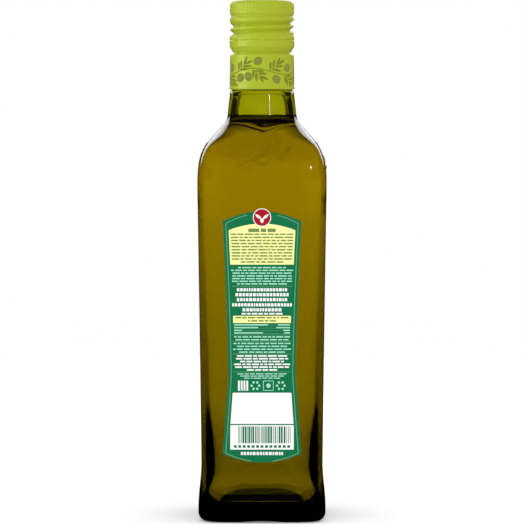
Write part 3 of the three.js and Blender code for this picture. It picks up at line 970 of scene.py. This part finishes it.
def print_marks(white, mint):
    """A row of four plain marks: stripes, a ring of dots, a disc in a frame, and a ring of dots."""
    for i in range(MARKS.stripes):
        shift = MARKS.stripe_pitch * i
        white.bar(MARKS.stripe_left + shift, MARKS.stripe_right + shift, MARKS.z, MARKS.stripe_height, 1)
    for centre in DOTS.centres:
        for i in range(DOTS.count):
            angle = i * math.pi / 3
            x, z = centre + DOTS.ring * math.cos(angle), MARKS.z + DOTS.ring * math.sin(angle)
            mint.lens(x, z, angle, DOTS.length, DOTS.width, 0.5)
    for sign in (-1, 1):
        mint.bar(FRAMED_DISC.left, FRAMED_DISC.right, MARKS.z + sign * FRAMED_DISC.rise, FRAMED_DISC.line)
        upright = FRAMED_DISC.middle + sign * FRAMED_DISC.reach
        mint.bar(upright - FRAMED_DISC.line / 2, upright + FRAMED_DISC.line / 2, MARKS.z, FRAMED_DISC.height)
    mint.lens(FRAMED_DISC.middle, MARKS.z, 0, FRAMED_DISC.disc, FRAMED_DISC.disc, 0.5, 12)


def print_bar_code(ink, draw):
    """Plain upright bars of random widths, over a row of short dashes."""
    x = CODE.left
    while x < CODE.right:
        width = draw.choice(CODE.bars)
        ink.bar(x, x + width, CODE.z, CODE.height, 1)
        x += width + draw.choice(CODE.gaps)
    for i in range(CODE.dashes):
        shift = CODE.dash_pitch * i
        ink.bar(CODE.dash_left + shift, CODE.dash_right + shift, CODE.dash_z, CODE.dash_height, 1)


def print_seal():
    """A red disc in a pale rim, with a plain sprig of two leaves and an olive."""
    low = PAPER.front - 0.01
    rim, disc, motif = (label_print(low, PAPER.front + height) for height in (0.05, 0.08, 0.11))
    for ink, width in ((rim, 2 * SEAL.radius), (disc, 2 * SEAL.radius - SEAL.rim)):
        ink.lens(0, SEAL.z, 0, width, width, 0.5, 32)
    for side in (-1, 1):
        turn = math.pi / 2 - side * math.radians(52)
        motif.lens(side * 1.75, SEAL.z + 0.4, turn, 3.6, 1.3, 0.8)
    motif.lens(0, SEAL.z - 1.5, math.pi / 2, 2.2, 1.7, 0.5, 12)
    finish_label_print(rim, "rim", WHITE)
    finish_label_print(disc, "seal", RED)
    finish_label_print(motif, "motif", WHITE)


# The studio, in metres: a pale floor, a bright surround that is dark in reflections of what lies in front of
# the bottle, and three lights.

STAGE = Sizes(radius=0.9, corners=96)


def make_floor():
    angles = [i * 2 * math.pi / STAGE.corners for i in range(STAGE.corners)]
    rim = [(STAGE.radius * math.cos(angle), STAGE.radius * math.sin(angle), 0) for angle in angles]
    mesh = bpy.data.meshes.new("floor")
    mesh.from_pydata(rim, [], [list(range(STAGE.corners))])
    material, tree = new_tree("floor_white")
    speckle = remap(tree, noise(tree, 300), 0, 1)
    surface = add(tree, "BsdfPrincipled", {
        "Base Color": blend(tree, speckle, (0.93, 0.93, 0.93, 1), (0.95, 0.95, 0.95, 1)),
        "Roughness": 0.8,
    })
    surface.inputs["Specular IOR Level"].default_value = 0.1
    surface.inputs["Emission Color"].default_value = (1, 1, 1, 1)
    surface.inputs["Emission Strength"].default_value = 0.15
    path = add(tree, "LightPath")
    rays = {0: path.outputs["Is Glossy Ray"], 1: path.outputs["Is Transmission Ray"]}
    through = add(tree, "Math", rays, operation="MAXIMUM")
    clear = add(tree, "BsdfTransparent")
    mixed = add(tree, "MixShader", {0: through.outputs[0], 1: surface.outputs[0], 2: clear.outputs[0]})
    finish_tree(tree, mixed)
    mesh.materials.append(material)
    floor = bpy.data.objects.new("floor", mesh)
    bpy.context.scene.collection.objects.link(floor)
    return floor


# The light that a ray meets, as (place, level) along one part of its direction. Seen through the glass it is
# BACKLIGHT by height, with SIDES darkening it where AWAY is 0. In reflections it comes only from BEHIND and
# ABOVE.
BACKLIGHT = [(-1, 0.03), (-0.7, 0.06), (-0.5, 0.9), (0.45, 0.9), (0.65, 0.05), (1, 0.05)]
SIDES = [(0, 1), (0.3, 1), (0.4, 0.02), (0.965, 0.02), (0.985, 1)]
AWAY = [(-0.4, 1), (-0.02, 1), (-0.01, 0), (0.25, 0), (0.35, 1)]
BEHIND = [(-1.2, 0), (0.82, 0), (0.88, 1), (1.2, 1)]
ABOVE = [(-1, 0), (0.1, 0), (0.16, 1), (1, 1)]
SIDE_WEIGHT = 0.2
LEVEL = Sizes(camera=1.0, diffuse=1.1, gloss=2.0)


def make_world():
    world = bpy.data.worlds.new("studio")
    bpy.context.scene.world = world
    world.use_nodes = True
    tree = world.node_tree
    tree.nodes.clear()
    direction = add(tree, "TexCoord").outputs["Generated"]
    split = add(tree, "SeparateXYZ", {"Vector": direction})
    path = add(tree, "LightPath")

    def ramp(value, low, high, stops):
        """A level or a colour for each value between low and high."""
        inputs = {"Value": value, "From Min": low, "From Max": high}
        made = add(tree, "ValToRGB", {"Fac": add(tree, "MapRange", inputs).outputs["Result"]})
        elements = made.color_ramp.elements
        while len(elements) < len(stops):
            elements.new(0.5)
        for element, (place, colour) in zip(elements, stops):
            element.position = (place - low) / (high - low)
            element.color = (*colour, 1) if isinstance(colour, tuple) else (colour, colour, colour, 1)
        return made.outputs["Color"]

    def size_of(value):
        return add(tree, "Math", {0: value}, operation="ABSOLUTE").outputs[0]

    def plain(level):
        made = add(tree, "RGB").outputs[0]
        made.default_value = (level, level, level, 1)
        return made

    white = plain(LEVEL.camera)
    shares = {0: size_of(split.outputs["X"]), 1: SIDE_WEIGHT, 2: split.outputs["Y"]}
    edge_on = add(tree, "Math", shares, operation="MULTIPLY_ADD").outputs[0]
    behind = ramp(edge_on, -1.2, 1.2, BEHIND)
    above = ramp(split.outputs["Z"], -1, 1, ABOVE)
    seen_in_gloss = multiply(tree, multiply(tree, behind, above), plain(LEVEL.gloss))
    backlight = ramp(split.outputs["Z"], -1, 1, BACKLIGHT)
    sides = ramp(size_of(split.outputs["X"]), 0, 1, SIDES)
    away = ramp(split.outputs["Z"], -0.4, 0.4, AWAY)
    seen_through = multiply(tree, backlight, blend(tree, away, sides, white))
    colour = blend(tree, path.outputs["Is Glossy Ray"], plain(LEVEL.diffuse), seen_in_gloss)
    colour = blend(tree, path.outputs["Is Transmission Ray"], colour, seen_through)
    colour = blend(tree, path.outputs["Is Camera Ray"], colour, white)
    background = add(tree, "Background", {"Color": colour, "Strength": 1.0})
    add(tree, "OutputWorld", {"Surface": background.outputs[0]})


SOFTBOX_LEFT = Sizes(
    name="softbox_left", place=(-0.9, -0.25, 0.32), aim=(0, 0, 0.2), width=0.68, height=0.9, watts=2.4,
    colour=(1, 1, 1),
)
FILL_LEFT = Sizes(
    name="fill_left", place=(-0.9, -0.9, 0.4), aim=(0, 0, 0.22), width=0.6, height=0.6, watts=3.4,
    colour=(0.4, 1, 0.3),
)
STRIP_RIGHT = Sizes(
    name="strip_right", place=(0.45, -0.89, 0.45), aim=(0, 0, 0.2), width=0.02, height=0.18, watts=0.4,
    colour=(1, 1, 1),
)


def turn_to(place, aim):
    """The rotation that points a light or a camera at a place from where it stands."""
    return (Vector(aim) - Vector(place)).to_track_quat("-Z", "Y").to_euler()


def add_softbox(sizes, receiver):
    """An area light that lights one piece alone."""
    light = bpy.data.lights.new(sizes.name, "AREA")
    light.shape = "RECTANGLE"
    light.size, light.size_y = sizes.width, sizes.height
    light.energy = sizes.watts
    light.color = sizes.colour
    box = bpy.data.objects.new(sizes.name, light)
    bpy.context.scene.collection.objects.link(box)
    box.location = sizes.place
    box.rotation_euler = turn_to(sizes.place, sizes.aim)
    box.visible_transmission = False
    receivers = bpy.data.collections.new(sizes.name + "_receivers")
    receivers.objects.link(receiver)
    box.light_linking.receiver_collection = receivers
    return box


# The focal length is in pixels of a picture that is frame_pixels wide, and the sensor in millimetres.
CAMERA = Sizes(place=(0, -1.4, 0.2), aim=(0, 0, 0.12515), focal_pixels=2843.5, frame_pixels=524, sensor=36)


def make_camera():
    camera = bpy.data.cameras.new("camera")
    camera.sensor_width = CAMERA.sensor
    camera.lens = CAMERA.focal_pixels * CAMERA.sensor / CAMERA.frame_pixels
    holder = bpy.data.objects.new("camera", camera)
    bpy.context.scene.collection.objects.link(holder)
    holder.location = CAMERA.place
    holder.rotation_euler = turn_to(CAMERA.place, CAMERA.aim)
    bpy.context.scene.camera = holder


glass = make_glass()
make_oil()
closure = make_closure()
print_branch()
print_label()
make_floor()
make_world()
add_softbox(SOFTBOX_LEFT, closure).visible_diffuse = False
add_softbox(FILL_LEFT, closure).visible_glossy = False
add_softbox(STRIP_RIGHT, glass).visible_diffuse = False
make_camera()

scene = bpy.context.scene
scene.view_settings.view_transform = "Standard"
scene.view_settings.look = "None"
scene.cycles.max_bounces = 24
scene.cycles.transmission_bounces = 24
scene.cycles.glossy_bounces = 8
scene.cycles.use_denoising = True
